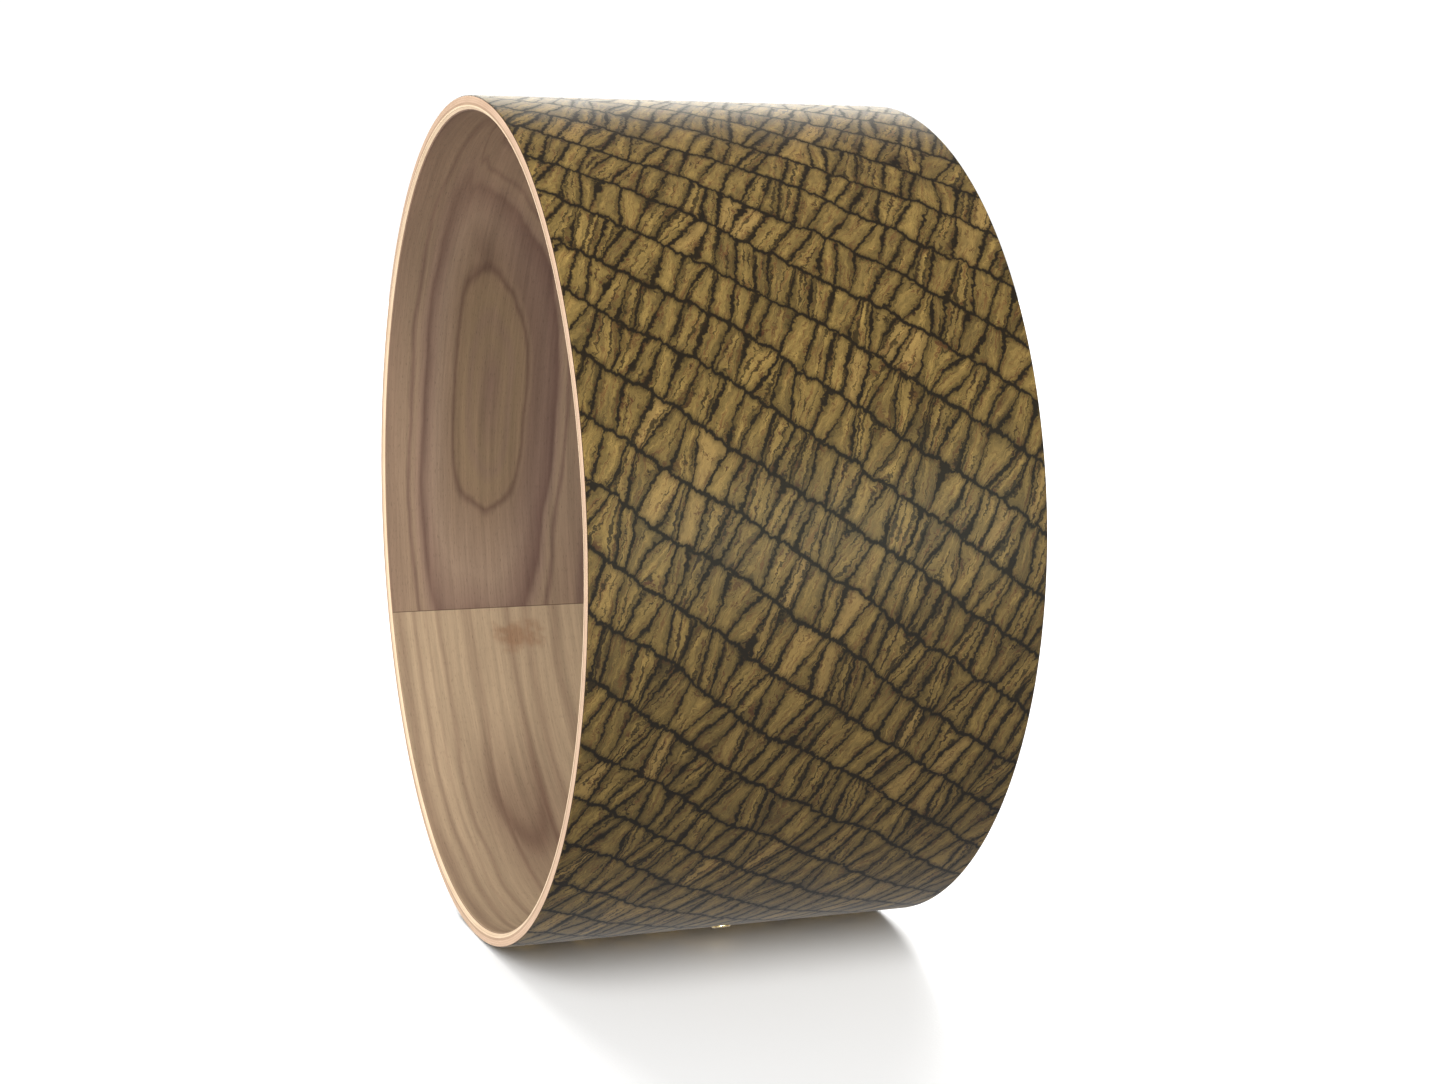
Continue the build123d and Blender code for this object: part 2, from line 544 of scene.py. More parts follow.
@dataclass(frozen=True)
class StripedWalnut(WalnutFinish):
    """Straighter, lighter walnut below the inner seam: soft stripes, a tongue of darker rings, and
    painted shade round the tongue and away from the seam.
    """

    name: str = "walnut_striped_figure"
    tongue_across: float = 80.5
    tongue_along: float = 150.0
    tongue_half_width: float = 17.0
    tongue_length: float = 83.0
    light: Rgba = paint(179, 155, 126)
    dark: Rgba = paint(118, 92, 76)
    stain: Rgba = paint(146, 110, 82)
    stripes: tuple[tuple[float, float, float], ...] = (
        (7.0, 5.0, 0.45),
        (21.0, 2.4, 0.4),
        (31.0, 1.4, 0.2),
        (41.0, 2.2, 0.4),
        (66.5, 2.0, 0.35),
        (98.0, 3.2, 0.45),
        (116.0, 4.2, 0.35),
        (141.0, 4.5, 0.4),
        (170.0, 3.4, 0.35),
        (205.0, 4.0, 0.4),
        (238.0, 3.2, 0.35),
        (272.0, 4.2, 0.4),
    )

    def pattern(self, bench: Bench) -> Layers:
        """Lay the stripes along the sheet and the tongue at their middle, and paint shade round the
        tongue and away from the seam.
        """
        across, along, depth = self.places(bench)
        wobble = bench.grain(across, 70, along, 130, 1.0, 1.0)
        waver = bench.grain(across, 14, along, 70, 6.0, 2.0)
        bent = bench.blend_sum((1.0, across), (16.0, wobble), (3.0, waver))
        darkness: Value = 0.0
        for place, half, strength in self.stripes:
            off = bench.math("ABSOLUTE", bench.minus(bent, place))
            darkness = bench.math(
                "MAXIMUM", darkness, bench.ease(off, 0.0, 1.8 * half, strength, 0.0)
            )
        side = bench.over(bench.minus(bent, self.tongue_across), self.tongue_half_width)
        off = bench.over(bench.minus(along, self.tongue_along), self.tongue_length)
        off = bench.math("MAXIMUM", off, 0.0)
        ring = bench.math("SQRT", bench.plus(bench.times(side, side), bench.times(off, off)))
        tongue = bench.ease(bench.math("ABSOLUTE", bench.minus(ring, 1.0)), 0.0, 0.4, 0.3, 0.0)
        # Painted shade: a soft dark patch round the tongue, growing away from the seam, stands in for
        # shade on the lower inside
        painted_shade = bench.times(
            bench.ease(ring, 0.5, 2.8, 0.55, 0.0), bench.ease(along, 70.0, 210.0)
        )
        darkness = bench.math("MAXIMUM", darkness, tongue)
        darkness = bench.math("ADD", darkness, painted_shade, clamp=True)
        blot = bench.grain(across, 12, along, 9, 14.0, 2.0)
        smudge_across = bench.over(bench.minus(across, 107.0), 23.0)
        smudge_along = bench.over(bench.minus(along, 25.0), 15.0)
        smudge = bench.math(
            "SQRT",
            bench.plus(
                bench.times(smudge_across, smudge_across), bench.times(smudge_along, smudge_along)
            ),
        )
        smudge = bench.ease(bench.blend_sum((1.0, smudge), (1.6, blot)), 0.25, 1.15, 0.7, 0.0)
        # Painted shade: the sheet darkens away from the seam, towards the bottom of the inside
        darkness = bench.plus(darkness, bench.ease(along, 60.0, 260.0, 0.0, 0.12))
        colour = bench.mix(darkness, self.light, self.dark)
        colour = bench.mix(smudge, colour, self.stain)
        return self.wood(bench, colour, across, along, depth)


@dataclass(frozen=True)
class CorePly(Finish):
    """Rotary-cut core ply: its cut edge shows fibre or end grain between thin glue lines."""

    name: str = "core_ply"
    roughness: float = 0.6
    specular: float = 0.25
    bump_reach_mm: float = 0.05
    body: Rgba = paint(201, 172, 146)
    dark: Rgba = paint(170, 140, 115)
    glue: Rgba = paint(132, 100, 76)
    thickness: float = 1.5
    grain_seed: float = 0.0

    def pattern(self, bench: Bench) -> Layers:
        """Streak the ply along its arc, speckle it with pores and line it with glue."""
        arc, axial, depth = self.plank(bench)
        cloud = bench.grain(arc, 34, axial, 34, self.grain_seed, 2.0)
        fibre = bench.noise(
            bench.over(arc, 7), bench.over(axial, 0.5), bench.over(depth, 0.22), 3.0, 0.6
        )
        pore = bench.noise(
            bench.over(arc, 0.5), bench.over(axial, 6), bench.over(depth, 0.4), 2.0, 0.6
        )
        pore = bench.ease(pore, 0.08, 0.2)
        amount = bench.blend_sum((1.0, 0.3), (1.0, cloud), (1.1, fibre), (0.45, pore))
        colour = bench.mix(bench.math("MAXIMUM", amount, 0.0, clamp=True), self.body, self.dark)
        inside = bench.math("MINIMUM", depth, bench.minus(self.thickness, depth))
        joint = bench.ease(inside, 0.03, 0.14, 1.0, 0.0)
        colour = bench.mix(bench.times(joint, 0.5), colour, self.glue)
        relief = bench.blend_sum((0.8, fibre), (-0.6, pore), (-0.6, joint))
        return colour, relief, bench.blend_sum((1.0, self.roughness), (0.2, fibre))


@dataclass(frozen=True)
class Brass(Finish):
    """Polished brass of the vent, with turning marks and a little tarnish."""

    name: str = "vent_brass"
    roughness: float = 0.28
    specular: float = 0.5
    bump_reach_mm: float = 0.01
    bright: Rgba = paint(236, 212, 158)
    tarnish: Rgba = paint(176, 142, 86)

    def dress(self, shader: bpy.types.Node) -> None:
        """Brass is a metal all over."""
        shader.inputs["Metallic"].default_value = 1.0

    def pattern(self, bench: Bench) -> Layers:
        """Ring the metal with turning marks about the vent's own axis."""
        x, y, radius = self.plank(bench)
        marks = bench.grain(radius, 0.06, x, 8, bench.over(y, 8), 2.0)
        cloud = bench.grain(x, 2.4, y, 2.4, bench.over(radius, 2.4), 3.0)
        colour = bench.mix(bench.ease(cloud, -0.1, 0.25), self.bright, self.tarnish)
        gloss = bench.blend_sum((1.0, self.roughness), (0.35, cloud), (0.2, marks))
        return colour, marks, gloss


@dataclass(frozen=True)
class FloorFinish(Finish):
    """Plain white studio sweep with a faint sheen."""

    name: str = "studio_floor"
    roughness: float = 0.35
    specular: float = 0.3
    bump_reach_mm: float = 0.1
    white: Rgba = (0.88, 0.88, 0.875, 1.0)
    grey: Rgba = (0.86, 0.86, 0.86, 1.0)

    def pattern(self, bench: Bench) -> Layers:
        """Cloud the white a little, and stipple it."""
        place = bench.add("ShaderNodeTexCoord")
        x, y, _ = bench.split(place.outputs["Object"])
        cloud = bench.grain(x, 0.8, y, 0.8, 0.0, 2.0)
        grit = bench.grain(x, 0.002, y, 0.002, 4.0, 1.0)
        colour = bench.mix(bench.ease(cloud, -0.2, 0.2), self.white, self.grey)
        return colour, grit, None


class SheetBender:
    """The node tree that cuts a plank to a ply's section and bends it round the drum."""

    DRILL_SIDES = 72
    DRILL_LENGTH = 0.04

    INPUTS: tuple[tuple[str, str, float], ...] = (
        ("Start", "NodeSocketFloat", 0.0),
        ("Sweep", "NodeSocketFloat", math.pi),
        ("Shell Radius", "NodeSocketFloat", 0.3),
        ("Lay", "NodeSocketFloat", 0.0),
        ("Thickness", "NodeSocketFloat", 0.001),
        ("Depth", "NodeSocketFloat", 0.3),
        ("Axis Height", "NodeSocketFloat", 0.3),
        ("Round Over", "NodeSocketFloat", 0.0015),
        ("Inner Cut From", "NodeSocketFloat", 0.0078),
        ("Seam Ease", "NodeSocketFloat", 0.0001),
        ("Segments", "NodeSocketInt", 240),
        ("Section Cuts", "NodeSocketInt", 4),
        ("Vent Angle", "NodeSocketFloat", 0.0),
        ("Vent Position", "NodeSocketFloat", 0.0),
        ("Vent Radius", "NodeSocketFloat", 0.005),
        ("Vent Through", "NodeSocketBool", False),
        ("Veneer", "NodeSocketMaterial", None),
    )

    def __init__(self) -> None:
        """Build the tree once; every sheet uses it with its own sizes."""
        self.tree = bpy.data.node_groups.new("bend_sheet", "GeometryNodeTree")
        face = self.tree.interface
        face.new_socket("Geometry", in_out="OUTPUT", socket_type="NodeSocketGeometry")
        self.sockets: dict[str, str] = {}
        for name, kind, value in self.INPUTS:
            socket = face.new_socket(name, in_out="INPUT", socket_type=kind)
            if value is not None:
                socket.default_value = value
            self.sockets[name] = socket.identifier
        self._wire()

    def _wire(self) -> None:
        """Wire the section, the sweep, the bend, the vent hole and the plank attribute."""
        bench = Bench(self.tree)
        given = bench.add("NodeGroupInput").outputs
        half_depth = bench.over(given["Depth"], 2.0)

        # The section: x is the depth into the sheet, y the place across it
        section = bench.add("GeometryNodeCurvePrimitiveQuadrilateral")
        bench.feed(section.inputs["Width"], given["Thickness"])
        bench.feed(section.inputs["Height"], given["Depth"])
        moved = bench.add("GeometryNodeTransform")
        bench.feed(moved.inputs["Geometry"], section.outputs[0])
        bench.feed(moved.inputs["Translation"], bench.point(bench.over(given["Thickness"], 2.0), 0.0))
        divided = bench.add("GeometryNodeSubdivideCurve")
        bench.feed(divided.inputs["Curve"], moved.outputs[0])
        bench.feed(divided.inputs["Cuts"], given["Section Cuts"])

        # The sweep: a straight plank one unit long, with caps
        path = bench.add("GeometryNodeCurvePrimitiveLine")
        path.inputs["End"].default_value = (1.0, 0.0, 0.0)
        stations = bench.add("GeometryNodeResampleCurve")
        bench.feed(stations.inputs["Curve"], path.outputs[0])
        bench.feed(stations.inputs["Count"], bench.plus(given["Segments"], 1))
        plank = bench.add("GeometryNodeCurveToMesh")
        bench.feed(plank.inputs["Curve"], stations.outputs[0])
        bench.feed(plank.inputs["Profile Curve"], divided.outputs[0])
        plank.inputs["Fill Caps"].default_value = True

        # The bend: the first and last stations stand close to the ends, to ease the seams
        here = bench.add("GeometryNodeInputPosition")
        share, minus_into, minus_across = bench.split(here.outputs[0])
        into = bench.times(minus_into, -1.0)
        across = bench.times(minus_across, -1.0)
        ply_radius = bench.minus(given["Shell Radius"], given["Lay"])
        step = bench.over(1.0, given["Segments"])
        eased = bench.over(given["Seam Ease"], bench.times(ply_radius, given["Sweep"]))
        along = bench.straight(
            share, step, bench.minus(1.0, step), eased, bench.minus(1.0, eased)
        )
        along = bench.math("ADD", along, 0.0, clamp=True)
        at_end = bench.math(
            "LESS_THAN", bench.math("MINIMUM", along, bench.minus(1.0, along)), bench.over(eased, 2)
        )
        half_sheet = bench.over(given["Thickness"], 2.0)
        pinch = bench.minus(
            1.0, bench.times(at_end, bench.over(given["Seam Ease"], half_sheet))
        )
        into_eased = bench.plus(half_sheet, bench.times(bench.minus(into, half_sheet), pinch))
        below_face = bench.plus(given["Lay"], into)
        round_left = bench.math("MAXIMUM", bench.minus(given["Round Over"], below_face), 0.0)
        round_drop = bench.minus(
            given["Round Over"],
            bench.math(
                "SQRT",
                bench.minus(
                    bench.times(given["Round Over"], given["Round Over"]),
                    bench.times(round_left, round_left),
                ),
            ),
        )
        cut_drop = bench.math("MAXIMUM", bench.minus(below_face, given["Inner Cut From"]), 0.0)
        narrowing = bench.minus(1.0, bench.over(bench.plus(round_drop, cut_drop), half_depth))
        angle = bench.plus(given["Start"], bench.times(along, given["Sweep"]))
        radius = bench.minus(ply_radius, into_eased)
        bent = bench.add("GeometryNodeSetPosition")
        bench.feed(bent.inputs["Geometry"], plank.outputs[0])
        bench.feed(
            bent.inputs["Position"],
            bench.point(
                bench.times(radius, bench.math("COSINE", angle)),
                bench.times(across, narrowing),
                bench.plus(given["Axis Height"], bench.times(radius, bench.math("SINE", angle))),
            ),
        )

        # The vent hole, drilled on the vent's own axis
        drill = bench.add("GeometryNodeMeshCylinder")
        drill.inputs["Vertices"].default_value = self.DRILL_SIDES
        bench.feed(drill.inputs["Radius"], given["Vent Radius"])
        drill.inputs["Depth"].default_value = self.DRILL_LENGTH
        aimed = bench.add("GeometryNodeTransform")
        bench.feed(aimed.inputs["Geometry"], drill.outputs["Mesh"])
        bench.feed(
            aimed.inputs["Translation"],
            bench.point(
                bench.times(ply_radius, bench.math("COSINE", given["Vent Angle"])),
                given["Vent Position"],
                bench.plus(
                    given["Axis Height"],
                    bench.times(ply_radius, bench.math("SINE", given["Vent Angle"])),
                ),
            ),
        )
        turn = bench.minus(math.pi / 2, given["Vent Angle"])
        bench.feed(aimed.inputs["Rotation"], bench.point(0.0, turn, 0.0))
        drilled = bench.add("GeometryNodeMeshBoolean", operation="DIFFERENCE", solver="EXACT")
        bench.feed(drilled.inputs[0], bent.outputs[0])
        bench.feed(drilled.inputs[1], aimed.outputs[0])
        chosen = bench.add("GeometryNodeSwitch", input_type="GEOMETRY")
        bench.feed(chosen.inputs["Switch"], given["Vent Through"])
        bench.feed(chosen.inputs["False"], bent.outputs[0])
        bench.feed(chosen.inputs["True"], drilled.outputs[0])

        # The place on the flat plank, worked out from the bent place
        there = bench.add("GeometryNodeInputPosition")
        x, y, z = bench.split(there.outputs[0])
        z = bench.minus(z, given["Axis Height"])
        middle = bench.plus(given["Start"], bench.over(given["Sweep"], 2.0))
        lean = bench.math("WRAP", bench.minus(bench.math("ARCTAN2", z, x), middle), math.pi, -math.pi)
        from_axis = bench.math("SQRT", bench.plus(bench.times(x, x), bench.times(z, z)))
        stored = bench.add(
            "GeometryNodeStoreNamedAttribute", data_type="FLOAT_VECTOR", domain="POINT"
        )
        bench.feed(stored.inputs["Geometry"], chosen.outputs[0])
        stored.inputs["Name"].default_value = PLANK
        bench.feed(
            stored.inputs["Value"],
            bench.point(
                bench.times(bench.plus(middle, lean), ply_radius),
                y,
                bench.minus(ply_radius, from_axis),
            ),
        )
        smooth = bench.add("GeometryNodeSetShadeSmooth")
        bench.feed(smooth.inputs["Geometry"], stored.outputs[0])
        real = bench.add("GeometryNodeRealizeInstances")
        bench.feed(real.inputs[0], smooth.outputs[0])
        coated = bench.add("GeometryNodeSetMaterial")
        bench.feed(coated.inputs["Geometry"], real.outputs[0])
        bench.feed(coated.inputs["Material"], given["Veneer"])
        result = bench.add("NodeGroupOutput")
        bench.feed(result.inputs[0], coated.outputs[0])

    def bend(self, name: str, sizes: dict[str, object]) -> bpy.types.Object:
        """Bend one sheet.

        Args:
            name: The new piece's name.
            sizes: A value for each of the tree's named inputs that isn't at its default.

        Returns:
            The sheet as a plain closed mesh at the origin.
        """
        blank = bpy.data.objects.new(name, bpy.data.meshes.new(name))
        bpy.context.scene.collection.objects.link(blank)
        modifier = blank.modifiers.new("bend", "NODES")
        modifier.node_group = self.tree
        for label, value in sizes.items():
            modifier[self.sockets[label]] = value
        graph = bpy.context.evaluated_depsgraph_get()
        mesh = bpy.data.meshes.new_from_object(blank.evaluated_get(graph))
        blank.modifiers.remove(modifier)
        mesh.name = name
        blank.data = mesh
        close_up(mesh)
        return blank


def close_up(mesh: bpy.types.Mesh, sharp_angle: float = math.radians(28)) -> None:
    """Merge doubles, turn the faces outwards and keep the edges crisp."""
    work = bmesh.new()
    work.from_mesh(mesh)
    bmesh.ops.remove_doubles(work, verts=work.verts, dist=1e-7)
    bmesh.ops.recalc_face_normals(work, faces=work.faces)
    if work.calc_volume(signed=True) < 0:
        bmesh.ops.reverse_faces(work, faces=work.faces)
    work.to_mesh(mesh)
    work.free()
    mesh.set_sharp_from_angle(angle=sharp_angle)


@dataclass
class DrumFrame:
    """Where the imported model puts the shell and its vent."""

    radius: float
    depth: float
    axis_height: float
    vent_angle: float
    vent_position: float

    @classmethod
    def read(cls) -> "DrumFrame":
        """Read the shell's box and the eyelet's box."""
        low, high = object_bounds()
        radius = (high[0] - low[0]) / 2
        axis_height = low[2] + radius
        vent_low, vent_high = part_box("vent_eyelet")
        middle = (vent_low + vent_high) / 2
        angle = math.atan2(middle.z - axis_height, middle.x)
        return cls(radius, high[1] - low[1], axis_height, angle, middle.y)


@dataclass
class PlyStack:
    """The eight plies of the wall, each of two sheets that meet at butt seams."""

    frame: DrumFrame
    face_veneer: float = 0.6
    core_ply: float = 1.5
    core_plies: int = 6
    round_over: float = 1.5
    inner_cut: float = 2.4
    outer_seam: float = 96.0
    inner_seam: float = 200.0
    vent_hole: float = 4.9
    face_cuts: int = 9
    core_cuts: int = 4
    pieces: list[bpy.types.Object] = field(default_factory=list)

    @property
    def wall(self) -> float:
        """The wall's thickness, in millimetres."""
        return 2 * self.face_veneer + self.core_plies * self.core_ply

    def finishes(self) -> dict[str, Finish]:
        """Give each sheet's finish by the sheet's name."""
        radius = self.frame.radius / MM - self.wall + self.face_veneer
        near_edge = -self.frame.depth / 2 / MM
        outer = ScaleVeneer()
        found: dict[str, Finish] = {
            "outer_veneer_sheet_a": outer,
            "outer_veneer_sheet_b": outer,
            "inner_veneer_sheet_a": OvalWalnut(
                seam_arc=math.radians(self.inner_seam) * radius, near_edge=near_edge
            ),
            "inner_veneer_sheet_b": StripedWalnut(
                seam_arc=math.radians(self.inner_seam) * radius, near_edge=near_edge
            ),
        }
        tan = CorePly(name="core_ply_tan")
        brown = CorePly(
            name="core_ply_brown",
            body=paint(176, 148, 123),
            dark=paint(150, 121, 97),
            grain_seed=3.0,
        )
        cream = CorePly(
            name="core_ply_cream",
            body=paint(221, 197, 167),
            dark=paint(197, 170, 139),
            grain_seed=6.0,
        )
        for number, finish in enumerate((tan, tan, tan, brown, cream, cream), start=1):
            for side in "ab":
                found[f"core_ply_{number}_sheet_{side}"] = finish
        return found

    def slot_of(self, name: str) -> Slot:
        """Give the record's material slot of a sheet."""
        if name.startswith("outer"):
            return Slot.OUTER_VENEER
        if name.startswith("inner"):
            return Slot.INNER_VENEER
        number = int(name.split("_")[2])
        return Slot.CORE_TAN if number <= 3 else Slot.CORE_BROWN if number == 4 else Slot.CORE_CREAM

    def build(self) -> None:
        """Bend and dress every sheet, from the outside in."""
        bender = SheetBender()
        made: dict[Finish, bpy.types.Material] = {}
        finishes = self.finishes()
        names = ["outer_veneer", *[f"core_ply_{n + 1}" for n in range(self.core_plies)], "inner_veneer"]
        step = (self.inner_seam + 180 - self.outer_seam) / (self.core_plies + 1)
        lay = 0.0
        for index, ply in enumerate(names):
            thickness = self.face_veneer if "veneer" in ply else self.core_ply
            for half, side in enumerate("ab"):
                name = f"{ply}_sheet_{side}"
                start = self.outer_seam + index * step + 180 * half
                if start > self.inner_seam:
                    start -= 360
                vent_at = (math.degrees(self.frame.vent_angle) - start) % 360
                finish = finishes[name]
                if finish not in made:
                    made[finish] = finish.build()
                sheet = bender.bend(
                    f"{name}_bent",
                    {
                        "Start": math.radians(start),
                        "Shell Radius": self.frame.radius,
                        "Lay": lay * MM,
                        "Thickness": thickness * MM,
                        "Depth": self.frame.depth,
                        "Axis Height": self.frame.axis_height,
                        "Round Over": self.round_over * MM,
                        "Inner Cut From": (self.wall - self.inner_cut) * MM,
                        "Section Cuts": self.face_cuts if index < 2 else self.core_cuts,
                        "Vent Angle": self.frame.vent_angle,
                        "Vent Position": self.frame.vent_position,
                        "Vent Radius": self.vent_hole * MM,
                        "Vent Through": vent_at < 180,
                        "Veneer": made[finish],
                    },
                )
                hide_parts(name)
                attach(sheet, BODY)
                self.slot_of(name).value
                self.pieces.append(sheet)
                LOG.info("%s: %d faces", sheet.name, len(sheet.data.polygons))
            lay += thickness


@dataclass
class Vent:
    """The brass eyelet, clinched over a washer inside the wall."""

    frame: DrumFrame
    wall: float
    bore: float = 4.25
    metal: float = 0.55
    flange_radius: float = 6.8
    flange_height: float = 1.1
    clinch_radius: float = 6.2
    clinch_height: float = 0.8
    clinch_round: float = 0.5
    roll: float = 0.8
    flange_steps: int = 16
    clinch_steps: int = 12
    washer_radius: float = 7.5
    washer_thickness: float = 0.8
    washer_hole: float = 4.9
    washer_gap: float = 0.1
    washer_chamfer: float = 0.2
    corner_steps: int = 4
    crease: float = math.radians(40)
    turns: int = 96
    pieces: list[bpy.types.Object] = field(default_factory=list)

    def eyelet_section(self) -> list[tuple[float, float]]:
        """Draw half of the eyelet's section as (distance from its axis, height above the shell)."""
        points: list[tuple[float, float]] = []
        bottom = -(self.wall + self.washer_gap + self.washer_thickness)
        outer = self.bore + self.metal
        # Flange: a dome that rolls into the bore on one side and down to the veneer on the other
        points.append((self.flange_radius, 0.0))
        crown = (self.bore + self.flange_radius) / 2
        half = (self.flange_radius - self.bore) / 2
        for i in range(1, self.flange_steps):
            angle = math.pi * i / self.flange_steps
            height = self.flange_height * math.sin(angle) ** self.roll
            points.append((crown + half * math.cos(angle), height))
        points.append((self.bore, 0.0))
        points.append((self.bore, bottom + self.clinch_round))
        # Clinched lip: rolls outwards over the washer
        lip = (self.bore + self.clinch_radius) / 2
        lip_half = (self.clinch_radius - self.bore) / 2
        for i in range(self.clinch_steps + 1):
            angle = math.pi * i / self.clinch_steps
            height = bottom - self.clinch_height * math.sin(angle) ** self.roll
            points.append((lip - lip_half * math.cos(angle), height))
        points.append((outer, bottom))
        points.append((outer, 0.0))
        return points

    def washer_section(self) -> list[tuple[float, float]]:
        """Draw half of the washer's section, with rounded corners."""
        top = -(self.wall + self.washer_gap)
        low = top - self.washer_thickness
        ease = self.washer_chamfer
        corners = (
            (self.washer_hole + ease, low + ease, 180, 270),
            (self.washer_radius - ease, low + ease, 270, 360),
            (self.washer_radius - ease, top - ease, 0, 90),
            (self.washer_hole + ease, top - ease, 90, 180),
        )
        points = []
        for x, y, start, end in corners:
            for i in range(self.corner_steps + 1):
                angle = math.radians(start + (end - start) * i / self.corner_steps)
                points.append((x + ease * math.cos(angle), y + ease * math.sin(angle)))
        return points

    def turn(self, name: str, section: Sequence[tuple[float, float]]) -> bpy.types.Object:
        """Turn a closed section about the vent's axis.

        Args:
            name: The new piece's name.
            section: Points as (distance from the vent's axis, height above the shell), in mm.

        Returns:
            The turned piece, in place.
        """
        outward = Vector((math.cos(self.frame.vent_angle), 0, math.sin(self.frame.vent_angle)))
        along = Vector((0, 1, 0))
        side = outward.cross(along)
        foot = Vector((0, self.frame.vent_position, self.frame.axis_height))
        foot += outward * self.frame.radius
        verts, places = [], []
        for k in range(self.turns):
            angle = 2 * math.pi * k / self.turns
            spoke = along * math.cos(angle) + side * math.sin(angle)
            for reach, height in section:
                verts.append(foot + spoke * reach * MM + outward * height * MM)
                places.append(
                    (reach * math.cos(angle) * MM, reach * math.sin(angle) * MM, (reach + height) * MM)
                )
        count = len(section)
        faces = []
        for k in range(self.turns):
            for i in range(count):
                a, b = k * count + i, k * count + (i + 1) % count
                step = ((k + 1) % self.turns) * count - k * count
                faces.append((a, b, b + step, a + step))
        mesh = bpy.data.meshes.new(name)
        mesh.from_pydata(verts, [], faces)
        store = mesh.attributes.new(PLANK, "FLOAT_VECTOR", "POINT")
        store.data.foreach_set("vector", np.array(places, np.float32).ravel())
        mesh.shade_smooth()
        close_up(mesh, self.crease)
        piece = bpy.data.objects.new(name, mesh)
        bpy.context.scene.collection.objects.link(piece)
        return piece

    def build(self) -> None:
        """Turn and dress the eyelet and the washer."""
        brass = Brass().build()
        for node, section in (
            ("vent_eyelet", self.eyelet_section()),
            ("vent_washer", self.washer_section()),
        ):
            piece = self.turn(f"{node}_turned", section)
            piece.data.materials.append(brass)
            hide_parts(node)
            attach(piece, BODY)
            self.pieces.append(piece)
            LOG.info("%s: %d faces", piece.name, len(piece.data.polygons))


class Lights(str, Enum):
    """What a studio light falls on."""

    DRUM = "drum_lit"
    VENT = "vent_lit"
    FLOOR = "floor_lit"


@dataclass(frozen=True)
class Softbox:
    """A soft rectangular studio light that falls on the drum, or on part of it."""

    name: str
    place: tuple[float, float, float]
    aim: tuple[float, float, float]
    size: tuple[float, float]
    power: float
    tint: tuple[float, float, float] = (1.0, 1.0, 1.0)
    sheen: bool = True
    wash: bool = True
    falls_on: Lights = Lights.DRUM

    def hang(self, lit: bpy.types.Collection) -> None:
        """Hang the light, aim it and let it fall on these objects only."""
        lamp = bpy.data.lights.new(self.name, "AREA")
        lamp.shape = "RECTANGLE"
        lamp.size, lamp.size_y = self.size
        lamp.energy = self.power
        lamp.color = self.tint
        holder = bpy.data.objects.new(self.name, lamp)
        bpy.context.scene.collection.objects.link(holder)
        holder.location = self.place
        direction = Vector(self.aim) - Vector(self.place)
        holder.rotation_euler = direction.to_track_quat("-Z", "Y").to_euler()
        holder.visible_camera = False
        holder.visible_glossy = self.sheen
        holder.visible_diffuse = self.wash
        holder.light_linking.receiver_collection = lit


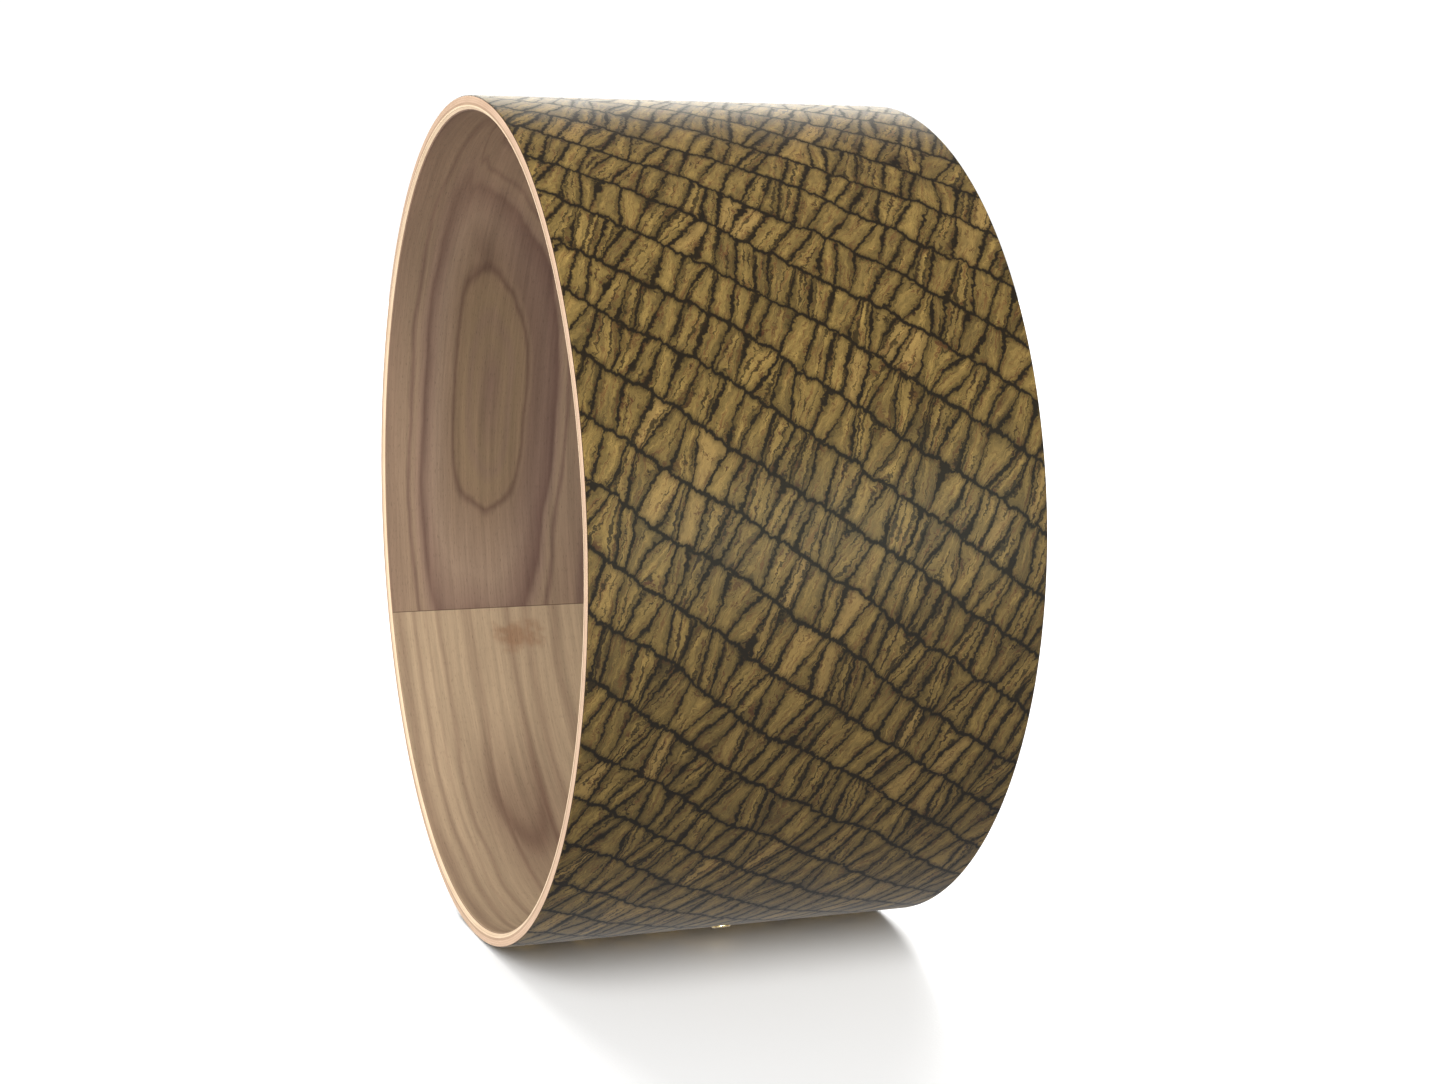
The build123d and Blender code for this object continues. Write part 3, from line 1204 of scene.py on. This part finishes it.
@dataclass
class Studio:
    """The white floor, the soft lights and the camera."""

    camera_place: tuple[float, float, float] = (1.634, -0.551, 0.475)
    yaw: float = math.radians(-70.08)
    pitch: float = math.radians(8.08)
    lens: float = 58.1
    sensor: float = 36.0
    shift_up: float = 0.05
    floor_half: float = 60.0
    floor_washes: tuple[tuple[str, tuple[float, float, float], float], ...] = (
        ("floor_wash_front", (1.0, -0.5, 0.85), 4.6),
        ("floor_wash_back", (-1.0, 0.3, 0.9), 4.2),
    )
    floor_wash_spread: float = math.radians(52)
    seen_level: float = 1.1
    world_levels: tuple[tuple[float, float], ...] = (
        (0.0, 0.4),
        (0.25, 0.72),
        (0.47, 0.8),
        (0.55, 0.34),
        (1.0, 0.34),
    )
    softboxes: tuple[Softbox, ...] = (
        Softbox("key", (1.75, -0.5, 2.6), (0.1, 0.0, 0.4), (1.3, 1.3), 70.0, sheen=False),
        Softbox("front_left", (0.6, -2.4, 0.5), (-0.1, 0.0, 0.4), (1.2, 0.8), 65.0, sheen=False),
        Softbox(
            "low_side", (1.3, 0.42, 0.36), (0.3, 0.0, 0.3), (0.5, 0.6), 3.6, (0.8, 1.0, 0.95), wash=False
        ),
        Softbox("back", (-2.4, 0.9, 1.45), (0.0, 0.0, 0.6), (2.4, 1.3), 46.0, (1.0, 0.97, 0.88)),
        Softbox(
            "vent_glint",
            (1.5, -0.2, 0.12),
            (0.1, 0.0, 0.02),
            (0.8, 0.2),
            45.0,
            falls_on=Lights.VENT,
        ),
    )

    def build(self, pieces: Sequence[bpy.types.Object]) -> None:
        """Set up everything round the drum.

        Args:
            pieces: The drum's own pieces, which the softboxes light.
        """
        floor = self._floor()
        self._world()
        lit = {kind: bpy.data.collections.new(kind.value) for kind in Lights}
        lit[Lights.FLOOR].objects.link(floor)
        for piece in pieces:
            lit[Lights.DRUM].objects.link(piece)
            if piece.name.startswith("vent"):
                lit[Lights.VENT].objects.link(piece)
        for softbox in self.softboxes:
            softbox.hang(lit[softbox.falls_on])
        self._wash(lit[Lights.FLOOR])
        self._camera()
        bpy.context.scene.view_settings.view_transform = "Standard"

    def _floor(self) -> bpy.types.Object:
        """Lay the floor."""
        mesh = bpy.data.meshes.new("studio_floor")
        half = self.floor_half
        mesh.from_pydata(
            [(-half, -half, 0), (half, -half, 0), (half, half, 0), (-half, half, 0)],
            [],
            [(0, 1, 2, 3)],
        )
        mesh.materials.append(FloorFinish().build())
        floor = bpy.data.objects.new("studio_floor", mesh)
        bpy.context.scene.collection.objects.link(floor)
        floor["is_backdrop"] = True
        floor.visible_diffuse = False
        floor.visible_glossy = False
        return floor

    def _wash(self, lit: bpy.types.Collection) -> None:
        """Light the floor from the front and from the back, all the way out."""
        for name, towards, strength in self.floor_washes:
            lamp = bpy.data.lights.new(name, "SUN")
            lamp.energy = strength
            lamp.angle = self.floor_wash_spread
            holder = bpy.data.objects.new(name, lamp)
            bpy.context.scene.collection.objects.link(holder)
            holder.rotation_euler = (-Vector(towards)).to_track_quat("-Z", "Y").to_euler()
            holder.light_linking.receiver_collection = lit

    def _world(self) -> None:
        """Make a surround that shows white and lights the drum softly, more from below the skyline."""
        world = bpy.data.worlds.new("studio_white")
        world.use_nodes = True
        bpy.context.scene.world = world
        bench = Bench(world.node_tree)
        background = world.node_tree.nodes["Background"]
        background.inputs["Color"].default_value = (1.0, 1.0, 1.0, 1.0)
        seen = bench.add("ShaderNodeLightPath").outputs["Is Camera Ray"]
        up = bench.split(bench.add("ShaderNodeTexCoord").outputs["Generated"])[2]
        level = bench.ramp(
            bench.blend_sum((1.0, 0.5), (0.5, up)),
            [(place, (value, value, value, 1.0)) for place, value in self.world_levels],
        )
        strength = bench.math("MAXIMUM", level, bench.times(seen, self.seen_level))
        bench.feed(background.inputs["Strength"], strength)

    def _camera(self) -> None:
        """Set up the camera."""
        lens = bpy.data.cameras.new("studio_camera")
        lens.lens = self.lens
        lens.sensor_width = self.sensor
        lens.shift_y = self.shift_up
        camera = bpy.data.objects.new("studio_camera", lens)
        bpy.context.scene.collection.objects.link(camera)
        camera.location = self.camera_place
        forward = Vector(
            (
                math.sin(self.yaw) * math.cos(self.pitch),
                math.cos(self.yaw) * math.cos(self.pitch),
                -math.sin(self.pitch),
            )
        )
        camera.rotation_euler = forward.to_track_quat("-Z", "Y").to_euler()
        bpy.context.scene.camera = camera


def main() -> None:
    """Build the drum shell's looks and the studio round it."""
    logging.basicConfig(level=logging.INFO, format="%(name)s %(message)s")
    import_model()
    frame = DrumFrame.read()
    LOG.info("shell %.1f mm across, %.1f mm deep", frame.radius * 2 / MM, frame.depth / MM)
    plies = PlyStack(frame)
    plies.build()
    vent = Vent(frame, plies.wall)
    vent.build()
    Studio().build([*plies.pieces, *vent.pieces])


if __name__ == "__main__":
    main()
